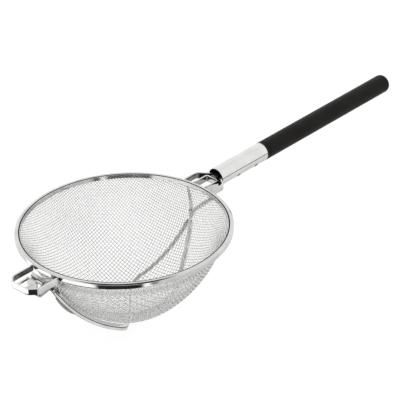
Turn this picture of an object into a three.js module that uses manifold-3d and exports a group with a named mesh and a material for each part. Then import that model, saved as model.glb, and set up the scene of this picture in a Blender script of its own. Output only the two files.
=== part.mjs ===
// A reinforced wire-mesh strainer: bowl of woven wire in a rolled steel rim, two crossing support straps
// under the bowl, a strip loop with a pot hook in front, and a black grip on a sheet-steel ferrule behind.
// Millimetres, +Z up. +X runs from the bowl's axis along the handle. The origin is under the bowl's axis,
// on the flat foot where the support straps cross. Inside the group, heights are measured from the top of
// the rim.
import * as THREE from 'three';
import { mergeVertices } from 'three/addons/utils/BufferGeometryUtils.js';
import Module from 'manifold-3d';

const wasm = await Module();
wasm.setup();

// Fit between neighbouring pieces, number of chords that draw a bend, and reach within which points are one
const CLEARANCE = 0.3;
const BEND_STEPS = 4;
const SAME_PLACE = 1e-4;

// Rim: a folded band over the edge of the mesh, with a wire hoop inside
const RIM_RADIUS = 130;
const RIM_WIDTH = 6.5;
const RIM_HEIGHT = 7;
const RIM_SHEET = 0.9;
const RIM_INNER_LEG = 5;
const RIM_TOP_ROUND_INSIDE = 1.8;
const RIM_TOP_ROUND_OUTSIDE = 3;
const RIM_BOTTOM_ROUND = 1.6;
const RIM_FACETS = 80;
const RIM_ROUND_STEPS = 3;
const HOOP_WIRE_RADIUS = 1.1;
const HOOP_WIRE_FACETS = 6;

// Mesh bowl: a square cloth of wire pressed to shape, drawn with fewer and thicker wires than the real weave
const BOWL_DEPTH = 122;
const BOWL_POLE_REACH = 60;
const BOWL_SHOULDER_INSET = 14;
const BOWL_SHOULDER_DROP = 14;
const BOWL_FLANK_REACH = 29;
const BOWL_FLANK_LEAN = THREE.MathUtils.degToRad(4);
const MESH_WALL = 1.6;
const WIRE_WIDTH = 2.2;
const WIRE_PITCH = 18.6;
const MESH_EDGE_DROP = 2.2;

// Support straps: strips standing on edge under the bowl
const STRAP_HEIGHT = 8;
const STRAP_THICKNESS = 2.2;
const STRAP_GAP = 0.8;
const STRAP_CROSSING_DROP = 29;
const STRAP_END_PAST_RIM = 2.6;
const STRAP_END_INSET = 1;
const STRAP_FRONT_CORNER = new THREE.Vector2(-36, 30);
const STRAP_REAR_CORNER = new THREE.Vector2(36, 33);
const STRAP_CORNER_ROUND = 14;
const STRAP_STEP = 8;
const STRAP_RUN_STEP = 1.5;
const STRAP_RUN_BLEND = 4;
const FOOT_FLAT = 16;

// Strips of the front loop, the handle yoke and the stirrup between the yoke's arms
const HANDLE_AXIS_DROP = 4.8;
const STRIP_HEIGHT = 8;
const STRIP_THICKNESS = 2.2;
const STRIP_BEND = 3;
const FRONT_HALF_WIDTH = 21.5;
const FRONT_REACH = 39;
const FRONT_CHAMFER = 9;
const YOKE_HALF_WIDTH = 22.5;
const YOKE_STRAIGHT = 21;
const YOKE_CHAMFER = 11;
const YOKE_BEND = 4;
const YOKE_TAIL_INSET = 4;
const YOKE_TAIL_LENGTH = 30;
const STIRRUP_HALF_WIDTH = 9.5;
const STIRRUP_REACH = 25;
const STIRRUP_DROP = 2;
const STIRRUP_HEIGHT = 8.5;

// Pot hook inside the front loop, and the two braces that tie it to the loop
const HOOK_WIDTH = 18;
const HOOK_ROOT_WIDTH = 13;
const HOOK_THICKNESS = 2;
const HOOK_PLATE_REACH = 20;
const HOOK_TOP_DROP = 2;
const HOOK_ROOT_REACH = -8.5;
const HOOK_ROOT_DROP = 21.5;
const HOOK_TOE_REACH = 15;
const HOOK_TOE_DROP = 26;
const HOOK_BEND = 5;
const BRACE_SIDE = 6.8;
const BRACE_HEIGHT = 3;
const BRACE_THICKNESS = 2;

// Handle: ferrule, tang, rivets and grip
const FERRULE_RADIUS = 12;
const FERRULE_WALL = 0.8;
const FERRULE_PAST_RIM = 31;
const FERRULE_LENGTH = 84;
const FERRULE_SEAM_GAP = 0.8;
const FERRULE_FACETS = 40;
const FERRULE_SEAM_ANGLE = THREE.MathUtils.degToRad(170);
const TANG_RADIUS = 5;
const TANG_INTO_GRIP = 60;
const TANG_FACETS = 20;
const RIVET_RADIUS = 2;
const RIVET_HEAD_RADIUS = 2.9;
const RIVET_HEAD_HEIGHT = 0.7;
const RIVET_CROWN = 0.72;
const RIVET_FACETS = 16;
const RIVET_ANGLE = THREE.MathUtils.degToRad(218);
const RIVET_FRONT_PLACE = 32;
const RIVET_REAR_SETBACK = 20;
const GRIP_OVER_FERRULE = 0.1;
const GRIP_LENGTH = 248.7;
const GRIP_SPIGOT_LENGTH = 13;
const GRIP_EDGE_ROUND = 0.8;
const GRIP_END_ROUND = 8;
const GRIP_FACETS = 32;
const GRIP_ROUND_STEPS = 6;
const GRIP_GROOVE_PLACE = 5;
const GRIP_GROOVE_WIDTH = 1.4;
const GRIP_GROOVE_DEPTH = 0.6;

// Materials
const polishedSteel = new THREE.MeshStandardMaterial({ color: 0xd4d6d8, roughness: 0.15, metalness: 1 });
const bandSteel = new THREE.MeshStandardMaterial({ color: 0xc6c8ca, roughness: 0.22, metalness: 1 });
const wireSteel = new THREE.MeshStandardMaterial({ color: 0xbfc1c3, roughness: 0.3, metalness: 1 });
const hiddenSteel = new THREE.MeshStandardMaterial({ color: 0x9c9ea0, roughness: 0.45, metalness: 1 });
const blackPlastic = new THREE.MeshStandardMaterial({ color: 0x262521, roughness: 0.5, metalness: 0 });

const strainer = new THREE.Group();

function addPiece(name, geometry, material) {
  const mesh = new THREE.Mesh(geometry, material);
  mesh.name = name;
  strainer.add(mesh);
  return mesh;
}

// Booleans
function toSolid(geometry) {
  const bare = geometry.clone();
  bare.deleteAttribute('normal');
  bare.deleteAttribute('uv');
  const merged = mergeVertices(bare, SAME_PLACE);
  return new wasm.Manifold(new wasm.Mesh({
    numProp: 3,
    vertProperties: new Float32Array(merged.attributes.position.array),
    triVerts: new Uint32Array(merged.index.array),
  }));
}

function toGeometry(solid) {
  const mesh = solid.getMesh();
  const geometry = new THREE.BufferGeometry();
  geometry.setAttribute('position', new THREE.BufferAttribute(new Float32Array(mesh.vertProperties), 3));
  geometry.setIndex(new THREE.BufferAttribute(new Uint32Array(mesh.triVerts), 1));
  return geometry;
}

// A flat strip's outline: an open route with rounded bends, given a thickness to both sides
function bentRoute(corners, bend) {
  const route = new THREE.Path();
  route.moveTo(corners[0].x, corners[0].y);
  for (let i = 1; i < corners.length - 1; i += 1) {
    const corner = corners[i];
    const before = corner.clone().sub(corners[i - 1]).setLength(bend);
    const after = corners[i + 1].clone().sub(corner).setLength(bend);
    const start = corner.clone().sub(before);
    const end = corner.clone().add(after);
    route.lineTo(start.x, start.y);
    route.quadraticCurveTo(corner.x, corner.y, end.x, end.y);
  }
  const last = corners[corners.length - 1];
  route.lineTo(last.x, last.y);
  return route;
}

function stationsOf(route, bendSteps = BEND_STEPS) {
  const stations = [];
  route.curves.forEach((curve, index) => {
    const steps = curve.isLineCurve ? 1 : bendSteps;
    for (let step = index === 0 ? 0 : 1; step <= steps; step += 1) {
      stations.push({ point: curve.getPoint(step / steps), tangent: curve.getTangent(step / steps) });
    }
  });
  return stations;
}

function stripShape(corners, bend, thickness) {
  const stations = stationsOf(bentRoute(corners, bend));
  const side = (sign) => stations.map(({ point, tangent }) => new THREE.Vector2(
    point.x - sign * tangent.y * thickness / 2,
    point.y + sign * tangent.x * thickness / 2,
  ));
  return new THREE.Shape([...side(-1), ...side(1).reverse()]);
}

// A strip standing on edge: the plan outline is raised from its lower edge
function standingStrip(corners, bend, thickness, height, topDrop) {
  const geometry = new THREE.ExtrudeGeometry(stripShape(corners, bend, thickness), {
    depth: height,
    bevelEnabled: false,
  });
  return geometry.translate(0, 0, -topDrop - height);
}

// Rim
const rimInner = RIM_RADIUS - RIM_WIDTH;
const meshEdgeRadius = rimInner + RIM_SHEET + CLEARANCE + MESH_WALL / 2;

function rimBandProfile() {
  const outer = RIM_RADIUS - RIM_SHEET;
  const inner = rimInner + RIM_SHEET;
  const lip = meshEdgeRadius + MESH_WALL / 2 + 2 * CLEARANCE;
  const bottom = -RIM_HEIGHT;
  const outline = new THREE.Path();
  outline.moveTo(rimInner, -RIM_INNER_LEG);
  outline.lineTo(rimInner, -RIM_TOP_ROUND_INSIDE);
  outline.quadraticCurveTo(rimInner, 0, rimInner + RIM_TOP_ROUND_INSIDE, 0);
  outline.lineTo(RIM_RADIUS - RIM_TOP_ROUND_OUTSIDE, 0);
  outline.quadraticCurveTo(RIM_RADIUS, 0, RIM_RADIUS, -RIM_TOP_ROUND_OUTSIDE);
  outline.lineTo(RIM_RADIUS, bottom + RIM_BOTTOM_ROUND);
  outline.quadraticCurveTo(RIM_RADIUS, bottom, RIM_RADIUS - RIM_BOTTOM_ROUND, bottom);
  outline.lineTo(lip, bottom);
  outline.lineTo(lip, bottom + RIM_SHEET);
  outline.lineTo(RIM_RADIUS - RIM_BOTTOM_ROUND, bottom + RIM_SHEET);
  outline.lineTo(outer, bottom + RIM_BOTTOM_ROUND);
  outline.lineTo(outer, -RIM_TOP_ROUND_OUTSIDE);
  outline.lineTo(RIM_RADIUS - RIM_TOP_ROUND_OUTSIDE, -RIM_SHEET);
  outline.lineTo(rimInner + RIM_TOP_ROUND_INSIDE, -RIM_SHEET);
  outline.lineTo(inner, -RIM_TOP_ROUND_INSIDE);
  outline.lineTo(inner, -RIM_INNER_LEG);
  outline.lineTo(rimInner, -RIM_INNER_LEG);
  return stationsOf(outline, RIM_ROUND_STEPS).map(({ point }) => point).reverse();
}

// A lathe turns its profile about Y, so the turned piece is tipped up to stand on Z
function turned(profile, facets) {
  return new THREE.LatheGeometry(profile, facets).rotateX(Math.PI / 2);
}

addPiece('rim_band', turned(rimBandProfile(), RIM_FACETS), polishedSteel);

const hoopRadius = meshEdgeRadius + MESH_WALL / 2 + CLEARANCE + HOOP_WIRE_RADIUS;
const hoopDrop = RIM_TOP_ROUND_OUTSIDE + HOOP_WIRE_RADIUS;
const hoop = new THREE.TorusGeometry(hoopRadius, HOOP_WIRE_RADIUS, HOOP_WIRE_FACETS, RIM_FACETS);
addPiece('rim_hoop', hoop.translate(0, 0, -hoopDrop), hiddenSteel);

// Mesh bowl: half profile of the wall's middle, as radius and height, from the pole to the rim
function bowlProfile() {
  const pole = new THREE.Vector2(0, -BOWL_DEPTH + MESH_WALL / 2);
  const poleHandle = new THREE.Vector2(BOWL_POLE_REACH, pole.y);
  const shoulder = new THREE.Vector2(RIM_RADIUS - BOWL_SHOULDER_INSET, -BOWL_SHOULDER_DROP);
  const lean = new THREE.Vector2(Math.sin(BOWL_FLANK_LEAN), Math.cos(BOWL_FLANK_LEAN));
  const flankHandle = shoulder.clone().addScaledVector(lean, -BOWL_FLANK_REACH);
  const neck = new THREE.Vector2(meshEdgeRadius, -RIM_INNER_LEG);
  const flare = (neck.y - shoulder.y) / 2;
  const profile = new THREE.CurvePath();
  profile.add(new THREE.CubicBezierCurve(pole, poleHandle, flankHandle, shoulder));
  profile.add(new THREE.CubicBezierCurve(
    shoulder,
    shoulder.clone().addScaledVector(lean, flare),
    new THREE.Vector2(neck.x, neck.y - flare),
    neck,
  ));
  return profile;
}

const bowl = bowlProfile();
const neckArc = bowl.getLength();
const edgeArc = neckArc + RIM_INNER_LEG - MESH_EDGE_DROP;

// Point of the wall at an arc length from the pole, moved out along the wall's normal
function wallPoint(across, along, outward) {
  const arc = Math.hypot(across, along);
  const share = Math.min(arc / neckArc, 1);
  const point = bowl.getPointAt(share);
  const tangent = bowl.getTangentAt(share);
  const radius = point.x + tangent.y * outward;
  const height = point.y - tangent.x * outward + Math.max(arc - neckArc, 0);
  const scale = arc > 0 ? 1 / arc : 0;
  return new THREE.Vector3(across * scale * radius, along * scale * radius, height);
}

// The cloth as flat cells before it is pressed to shape: a square at each crossing, a bar between each two
// crossings, bars out to the neck's circle, and tails that stand up in the rim. The bowl's wires lie at 45
// degrees to the handle.
function clothCells() {
  const half = WIRE_WIDTH / 2;
  const reach = Math.ceil(neckArc / WIRE_PITCH);
  const cells = [];
  const drawnIn = (x, y) => {
    const arc = Math.hypot(x, y);
    return arc > neckArc ? [x * neckArc / arc, y * neckArc / arc] : [x, y];
  };
  const isInside = (i, j) => Math.hypot(
    Math.max(Math.abs(i) * WIRE_PITCH - half, 0),
    Math.max(Math.abs(j) * WIRE_PITCH - half, 0),
  ) < neckArc - half;
  const place = (i, j, dx, dy) => drawnIn(i * WIRE_PITCH + dx * half, j * WIRE_PITCH + dy * half);
  const bar = (i, j, dx, dy) => {
    const sides = [[dy, -dx], [-dy, dx]];
    const near = sides.map(([sx, sy]) => place(i, j, dx + sx, dy + sy));
    const next = isInside(i + dx, j + dy);
    const far = sides.map(([sx, sy]) => {
      if (next) return place(i + dx, j + dy, sx - dx, sy - dy);
      const fixed = dx === 0 ? i * WIRE_PITCH + sx * half : j * WIRE_PITCH + sy * half;
      const run = Math.sqrt(neckArc ** 2 - fixed ** 2);
      return dx === 0 ? [fixed, dy * run] : [dx * run, fixed];
    });
    return { cell: [near[0], far[0], far[1], near[1]], next };
  };
  for (let i = -reach; i <= reach; i += 1) {
    for (let j = -reach; j <= reach; j += 1) {
      if (!isInside(i, j)) continue;
      cells.push([place(i, j, -1, -1), place(i, j, 1, -1), place(i, j, 1, 1), place(i, j, -1, 1)]);
      for (const [dx, dy] of [[1, 0], [0, 1], [-1, 0], [0, -1]]) {
        const { cell, next } = bar(i, j, dx, dy);
        if (!next || dx + dy > 0) cells.push(cell);
      }
    }
  }
  return cells;
}

// Gives flat cells a wall's thickness on the bowl, with edges closed all round
function pressedCloth(cells) {
  const places = new Map();
  const points = [];
  const indexOf = ([x, y]) => {
    const key = `${Math.round(x / SAME_PLACE)},${Math.round(y / SAME_PLACE)}`;
    if (!places.has(key)) {
      places.set(key, points.length);
      points.push([x, y]);
    }
    return places.get(key);
  };
  const faces = cells.map((cell) => cell.map(indexOf).filter((v, k, all) => v !== all[(k + 1) % all.length]))
    .filter((face) => face.length > 2);
  const openEdges = () => {
    const edges = new Map();
    for (const face of faces) {
      face.forEach((from, k) => {
        const to = face[(k + 1) % face.length];
        if (!edges.delete(`${to},${from}`)) edges.set(`${from},${to}`, [from, to]);
      });
    }
    return [...edges.values()];
  };
  const onNeck = (v) => Math.abs(Math.hypot(...points[v]) - neckArc) < SAME_PLACE;
  const tip = (v) => indexOf(points[v].map((value) => value * edgeArc / neckArc));
  for (const [from, to] of openEdges()) {
    if (onNeck(from) && onNeck(to)) faces.push([from, tip(from), tip(to), to]);
  }
  const position = [];
  for (const outward of [MESH_WALL / 2, -MESH_WALL / 2]) {
    for (const [x, y] of points) position.push(...wallPoint(x, y, outward).toArray());
  }
  const inner = points.length;
  const index = [];
  for (const face of faces) {
    for (let k = 1; k < face.length - 1; k += 1) {
      index.push(face[0], face[k + 1], face[k]);
      index.push(inner + face[0], inner + face[k], inner + face[k + 1]);
    }
  }
  for (const [from, to] of openEdges()) {
    index.push(from, to, inner + from);
    index.push(to, inner + to, inner + from);
  }
  const geometry = new THREE.BufferGeometry();
  geometry.setAttribute('position', new THREE.Float32BufferAttribute(position, 3));
  geometry.setIndex(index);
  return geometry;
}

addPiece('wire_mesh_bowl', pressedCloth(clothCells()).rotateZ(Math.PI / 4), wireSteel);

// Support straps: each crosses from one side of the front loop to the other side of the yoke. Their inner
// edge follows the bowl up to where they cross, and runs out from there to the undersides of loop and yoke.
const strapEnd = new THREE.Vector2(
  RIM_RADIUS + STRAP_END_PAST_RIM,
  -HANDLE_AXIS_DROP - STRIP_HEIGHT / 2 - CLEARANCE,
);
const strapRun = [];
for (let arc = 0; arc < neckArc; arc += STRAP_RUN_STEP) {
  const place = wallPoint(arc, 0, MESH_WALL / 2 + STRAP_GAP);
  if (place.z < -STRAP_CROSSING_DROP) strapRun.push(new THREE.Vector2(place.x, place.z));
}
const strapCrossing = strapRun[strapRun.length - 1].clone();
const legSteps = Math.round(strapCrossing.distanceTo(strapEnd) / STRAP_RUN_STEP);
for (let step = 1; step <= legSteps; step += 1) {
  strapRun.push(strapCrossing.clone().lerp(strapEnd, step / legSteps));
}

// The strap's inner edge and its outward direction at a place in plan
function strapSeat(x, y) {
  const radius = Math.hypot(x, y);
  const last = strapRun.length - 1;
  const found = strapRun.findIndex((point) => point.x > radius);
  const above = found < 0 ? last : Math.max(found, 1);
  const low = strapRun[above - 1];
  const high = strapRun[above];
  const height = THREE.MathUtils.mapLinear(radius, low.x, high.x, low.y, high.y);
  const before = strapRun[Math.max(above - STRAP_RUN_BLEND, 0)];
  const after = strapRun[Math.min(above + STRAP_RUN_BLEND - 1, last)];
  const tangent = after.clone().sub(before).normalize();
  return {
    point: new THREE.Vector3(x, y, height),
    outward: new THREE.Vector3(x / radius * tangent.y, y / radius * tangent.y, -tangent.x).normalize(),
  };
}

function strapPlan(side) {
  const endPlace = (way, across) => new THREE.Vector2(
    way * Math.sqrt(strapEnd.x ** 2 - across ** 2),
    -way * side * across,
  );
  const corner = ({ x, y }) => new THREE.Vector2(x, Math.sign(x) * side * y);
  const halfPlan = (way, across, bend) => [
    endPlace(way, across - STRAP_END_INSET),
    new THREE.Vector2(way * strapCrossing.x, 0),
    bend,
    bend.clone().setLength(FOOT_FLAT / 2),
  ];
  const halves = [
    halfPlan(-1, FRONT_HALF_WIDTH, corner(STRAP_FRONT_CORNER)),
    halfPlan(1, YOKE_HALF_WIDTH, corner(STRAP_REAR_CORNER)).reverse(),
  ];
  const stations = [];
  for (const half of halves) {
    bentRoute(half, STRAP_CORNER_ROUND).curves.forEach((curve, index) => {
      const steps = Math.max(Math.ceil(curve.getLength() / STRAP_STEP), curve.isLineCurve ? 1 : BEND_STEPS);
      for (let step = index === 0 ? 0 : 1; step <= steps; step += 1) {
        stations.push(curve.getPoint(step / steps));
      }
    });
  }
  return stations;
}

// A bar of rectangular section that stands on the strap's run, between two heights above its inner edge
function strapBar(side, thickness, from, to) {
  const seats = strapPlan(side).map(({ x, y }) => strapSeat(x, y));
  const position = [];
  const index = [];
  seats.forEach(({ point, outward }, k) => {
    const before = seats[Math.max(k - 1, 0)].point;
    const after = seats[Math.min(k + 1, seats.length - 1)].point;
    const sideways = after.clone().sub(before).cross(outward).setLength(thickness / 2);
    for (const [reach, sign] of [[from, 1], [from, -1], [to, -1], [to, 1]]) {
      const corner = point.clone().addScaledVector(outward, reach).addScaledVector(sideways, sign);
      position.push(...corner.toArray());
    }
    if (k === 0) return;
    const a = 4 * (k - 1);
    const b = 4 * k;
    for (let c = 0; c < 4; c += 1) {
      const d = (c + 1) % 4;
      index.push(a + c, a + d, b + c, a + d, b + d, b + c);
    }
  });
  const last = 4 * (seats.length - 1);
  index.push(0, 2, 1, 0, 3, 2, last, last + 1, last + 2, last, last + 2, last + 3);
  const geometry = new THREE.BufferGeometry();
  geometry.setAttribute('position', new THREE.Float32BufferAttribute(position, 3));
  geometry.setIndex(index);
  return toSolid(geometry);
}

// Where they cross, the straps are halved into each other
function halvedStrap(side, keepsOuterHalf) {
  const slot = STRAP_THICKNESS + 2 * CLEARANCE;
  const middle = STRAP_HEIGHT / 2;
  const past = 2 * CLEARANCE;
  const cut = keepsOuterHalf
    ? strapBar(-side, slot, -past, middle + CLEARANCE / 2)
    : strapBar(-side, slot, middle - CLEARANCE / 2, STRAP_HEIGHT + past);
  return toGeometry(strapBar(side, STRAP_THICKNESS, 0, STRAP_HEIGHT).subtract(cut));
}

addPiece('support_strap_left', halvedStrap(1, true), bandSteel);
addPiece('support_strap_right', halvedStrap(-1, false), bandSteel);

// Front loop
const plan = (x, y) => new THREE.Vector2(x, y);
const rimFoot = (side) => Math.sqrt(RIM_RADIUS ** 2 - (side - STRIP_THICKNESS / 2) ** 2) + CLEARANCE;
const stripDrop = HANDLE_AXIS_DROP - STRIP_HEIGHT / 2;
const loopFront = -(RIM_RADIUS + FRONT_REACH);
addPiece('front_loop', standingStrip([
  plan(-rimFoot(FRONT_HALF_WIDTH), FRONT_HALF_WIDTH),
  plan(loopFront + FRONT_CHAMFER, FRONT_HALF_WIDTH),
  plan(loopFront, FRONT_HALF_WIDTH - FRONT_CHAMFER),
  plan(loopFront, FRONT_CHAMFER - FRONT_HALF_WIDTH),
  plan(loopFront + FRONT_CHAMFER, -FRONT_HALF_WIDTH),
  plan(-rimFoot(FRONT_HALF_WIDTH), -FRONT_HALF_WIDTH),
], STRIP_BEND, STRIP_THICKNESS, STRIP_HEIGHT, stripDrop), polishedSteel);

// Pot hook: a strip bent in side view, from between the straps' ends, out and up to its plate
const hookPlate = -(RIM_RADIUS + HOOK_PLATE_REACH);
const hookSide = stripShape([
  plan(-(RIM_RADIUS + HOOK_ROOT_REACH), -HOOK_ROOT_DROP),
  plan(-(RIM_RADIUS + HOOK_TOE_REACH), -HOOK_TOE_DROP),
  plan(hookPlate, -HOOK_TOE_DROP + HOOK_BEND),
  plan(hookPlate, -HOOK_TOP_DROP),
], HOOK_BEND / 2, HOOK_THICKNESS);
const hook = new THREE.ExtrudeGeometry(hookSide, { depth: HOOK_WIDTH, bevelEnabled: false });
hook.rotateX(Math.PI / 2).translate(0, HOOK_WIDTH / 2, 0);
const hookPlaces = hook.attributes.position;
for (let k = 0; k < hookPlaces.count; k += 1) {
  const drop = Math.min(-hookPlaces.getZ(k), HOOK_ROOT_DROP);
  const width = THREE.MathUtils.mapLinear(drop, HOOK_TOP_DROP, HOOK_ROOT_DROP, HOOK_WIDTH, HOOK_ROOT_WIDTH);
  hookPlaces.setY(k, hookPlaces.getY(k) * width / HOOK_WIDTH);
}
addPiece('pot_hook', hook, polishedSteel);

const braceStart = loopFront + STRIP_THICKNESS / 2 + CLEARANCE;
const braceEnd = hookPlate - HOOK_THICKNESS / 2 - CLEARANCE;
for (const [name, side] of [['hook_brace_left', 1], ['hook_brace_right', -1]]) {
  const brace = new THREE.BoxGeometry(braceEnd - braceStart, BRACE_THICKNESS, BRACE_HEIGHT);
  brace.translate((braceStart + braceEnd) / 2, side * BRACE_SIDE, -HOOK_TOP_DROP - BRACE_HEIGHT / 2);
  addPiece(name, brace, polishedSteel);
}

// Handle yoke: two arms from the rim into the ferrule, with a stirrup between them
const ferruleInside = FERRULE_RADIUS - FERRULE_WALL;
const yokeTailSide = ferruleInside - YOKE_TAIL_INSET;
const yokeBend = rimFoot(YOKE_HALF_WIDTH) + YOKE_STRAIGHT;
const yokeNeck = yokeBend + YOKE_CHAMFER;
for (const [name, side] of [['handle_yoke_left', 1], ['handle_yoke_right', -1]]) {
  addPiece(name, standingStrip([
    plan(rimFoot(YOKE_HALF_WIDTH), side * YOKE_HALF_WIDTH),
    plan(yokeBend, side * YOKE_HALF_WIDTH),
    plan(yokeNeck, side * yokeTailSide),
    plan(yokeNeck + YOKE_TAIL_LENGTH, side * yokeTailSide),
  ], YOKE_BEND, STRIP_THICKNESS, STRIP_HEIGHT, stripDrop), bandSteel);
}

const stirrupEnd = RIM_RADIUS + STIRRUP_REACH;
addPiece('rim_stirrup', standingStrip([
  plan(rimFoot(STIRRUP_HALF_WIDTH), STIRRUP_HALF_WIDTH),
  plan(stirrupEnd, STIRRUP_HALF_WIDTH),
  plan(stirrupEnd, -STIRRUP_HALF_WIDTH),
  plan(rimFoot(STIRRUP_HALF_WIDTH), -STIRRUP_HALF_WIDTH),
], STRIP_BEND, STRIP_THICKNESS, STIRRUP_HEIGHT, STIRRUP_DROP), polishedSteel);

// Handle pieces are made along X from their own start, on the handle's axis
const handle = new THREE.Group();
handle.position.set(0, 0, -HANDLE_AXIS_DROP);
strainer.add(handle);

function addToHandle(name, geometry, material, start) {
  const mesh = addPiece(name, geometry, material);
  mesh.position.x = start;
  handle.add(mesh);
}

const alongX = (geometry) => geometry.rotateY(Math.PI / 2).rotateX(Math.PI / 2);
const ferruleStart = RIM_RADIUS + FERRULE_PAST_RIM;
const gripStart = ferruleStart + FERRULE_LENGTH + CLEARANCE;
const tangStart = stirrupEnd + STRIP_THICKNESS / 2 + CLEARANCE;
const tangLength = gripStart + TANG_INTO_GRIP - tangStart;
const tang = new THREE.CylinderGeometry(TANG_RADIUS, TANG_RADIUS, tangLength, TANG_FACETS);
tang.rotateZ(-Math.PI / 2).translate(tangLength / 2, 0, 0);
addToHandle('handle_tang', tang, hiddenSteel, tangStart);

// Ferrule: sheet rolled into a tube with an open seam, and a hole for each rivet. Angles run from +Y to +Z.
function ferruleShape() {
  const half = FERRULE_SEAM_GAP / 2 / FERRULE_RADIUS;
  const from = FERRULE_SEAM_ANGLE + half;
  const to = FERRULE_SEAM_ANGLE - half + 2 * Math.PI;
  const shape = new THREE.Shape();
  shape.absarc(0, 0, FERRULE_RADIUS, from, to, false);
  shape.absarc(0, 0, ferruleInside, to, from, true);
  return shape;
}

const rivetWay = new THREE.Vector3(0, Math.cos(RIVET_ANGLE), Math.sin(RIVET_ANGLE));
const towardRivet = new THREE.Quaternion().setFromUnitVectors(new THREE.Vector3(0, 1, 0), rivetWay);

function radialPeg(profile, along) {
  const peg = new THREE.LatheGeometry(profile, RIVET_FACETS).applyQuaternion(towardRivet);
  return peg.translate(along, 0, 0);
}

const tubeSheet = new THREE.ExtrudeGeometry(ferruleShape(), {
  depth: FERRULE_LENGTH,
  curveSegments: FERRULE_FACETS,
  bevelEnabled: false,
});
const rivetPlaces = {
  ferrule_rivet_front: RIVET_FRONT_PLACE,
  ferrule_rivet_rear: FERRULE_LENGTH - RIVET_REAR_SETBACK,
};
let ferrule = toSolid(alongX(tubeSheet));
const rivetSeat = TANG_RADIUS + CLEARANCE;
const rivetHead = FERRULE_RADIUS + CLEARANCE;
for (const place of Object.values(rivetPlaces)) {
  const hole = RIVET_RADIUS + CLEARANCE;
  ferrule = ferrule.subtract(toSolid(radialPeg([
    plan(0, rivetSeat),
    plan(hole, rivetSeat),
    plan(hole, rivetHead),
    plan(0, rivetHead),
  ], place)));
}
addToHandle('ferrule', toGeometry(ferrule), polishedSteel, ferruleStart);

for (const [name, place] of Object.entries(rivetPlaces)) {
  addToHandle(name, radialPeg([
    plan(0, rivetSeat),
    plan(RIVET_RADIUS, rivetSeat),
    plan(RIVET_RADIUS, rivetHead),
    plan(RIVET_HEAD_RADIUS, rivetHead),
    plan(RIVET_HEAD_RADIUS * RIVET_CROWN, rivetHead + RIVET_HEAD_HEIGHT * RIVET_CROWN),
    plan(0, rivetHead + RIVET_HEAD_HEIGHT),
  ], place), hiddenSteel, ferruleStart);
}

// Grip: a round bar with a spigot in the ferrule, a bore for the tang, a shallow groove and a rounded end
function gripProfile() {
  const bore = TANG_RADIUS + CLEARANCE;
  const gripRadius = FERRULE_RADIUS + GRIP_OVER_FERRULE;
  const spigot = ferruleInside - CLEARANCE;
  const grooveFloor = gripRadius - GRIP_GROOVE_DEPTH;
  const grooveThird = GRIP_GROOVE_WIDTH / 3;
  const boreEnd = TANG_INTO_GRIP + CLEARANCE;
  const outline = new THREE.Path();
  outline.moveTo(0, boreEnd);
  outline.lineTo(bore, boreEnd);
  outline.lineTo(bore, -GRIP_SPIGOT_LENGTH);
  outline.lineTo(spigot, -GRIP_SPIGOT_LENGTH);
  outline.lineTo(spigot, 0);
  outline.lineTo(gripRadius - GRIP_EDGE_ROUND, 0);
  outline.quadraticCurveTo(gripRadius, 0, gripRadius, GRIP_EDGE_ROUND);
  outline.lineTo(gripRadius, GRIP_GROOVE_PLACE);
  outline.lineTo(grooveFloor, GRIP_GROOVE_PLACE + grooveThird);
  outline.lineTo(grooveFloor, GRIP_GROOVE_PLACE + 2 * grooveThird);
  outline.lineTo(gripRadius, GRIP_GROOVE_PLACE + GRIP_GROOVE_WIDTH);
  outline.lineTo(gripRadius, GRIP_LENGTH - GRIP_END_ROUND);
  outline.quadraticCurveTo(gripRadius, GRIP_LENGTH, 0, GRIP_LENGTH);
  return stationsOf(outline, GRIP_ROUND_STEPS).map(({ point }) => point);
}

const grip = new THREE.LatheGeometry(gripProfile(), GRIP_FACETS).rotateZ(-Math.PI / 2);
addToHandle('grip', grip, blackPlastic, gripStart);

// The foot's flat is at height zero
const footSeat = strapSeat(FOOT_FLAT / 2, 0);
strainer.position.z = -footSeat.point.z - footSeat.outward.z * STRAP_HEIGHT;

export default strainer;
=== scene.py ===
import math

import bmesh
import bpy
import numpy as np
from mathutils import Matrix, Vector


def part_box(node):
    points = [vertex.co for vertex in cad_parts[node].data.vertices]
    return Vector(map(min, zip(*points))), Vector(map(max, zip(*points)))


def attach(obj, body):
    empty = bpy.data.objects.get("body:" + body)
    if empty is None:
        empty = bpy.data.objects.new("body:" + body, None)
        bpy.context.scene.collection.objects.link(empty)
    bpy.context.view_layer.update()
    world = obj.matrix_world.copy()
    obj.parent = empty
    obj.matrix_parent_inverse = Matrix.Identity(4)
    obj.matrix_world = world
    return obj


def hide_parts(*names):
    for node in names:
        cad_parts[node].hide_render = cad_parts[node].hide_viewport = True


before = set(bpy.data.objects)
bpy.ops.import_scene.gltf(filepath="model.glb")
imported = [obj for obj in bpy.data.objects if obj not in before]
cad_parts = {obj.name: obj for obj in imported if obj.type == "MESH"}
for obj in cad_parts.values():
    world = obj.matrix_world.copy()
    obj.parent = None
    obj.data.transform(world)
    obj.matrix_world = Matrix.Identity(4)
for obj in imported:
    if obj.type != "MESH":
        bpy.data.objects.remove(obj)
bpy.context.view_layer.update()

MM = 0.001
ROOT = "root"
RIM_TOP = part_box("rim_band")[1].z / MM
CLEARANCE = 0.3
TINY = 1e-9
SHARP_DEGREES = 40

# Rim
RIM_RADIUS = 130.0
RIM_WIDTH = 6.5
RIM_HEIGHT = 7.0
RIM_SHEET = 0.9
RIM_INNER_LEG = 5.0
RIM_LIP_WIDTH = 0.5
RIM_LIP_DROP = 0.4
RIM_GROOVE_WIDTH = 1.5
RIM_GROOVE_DEPTH = 1.3
RIM_SLOPE_WIDTH = 1.7
RIM_SLOPE_DROP = 1.2
RIM_SLOPE_ROUND = 0.15
RIM_EDGE = 0.3
RIM_BOTTOM_ROUND = 1.6
RIM_SEGMENTS = 320
RIM_ROUND_STEPS = 8

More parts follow.
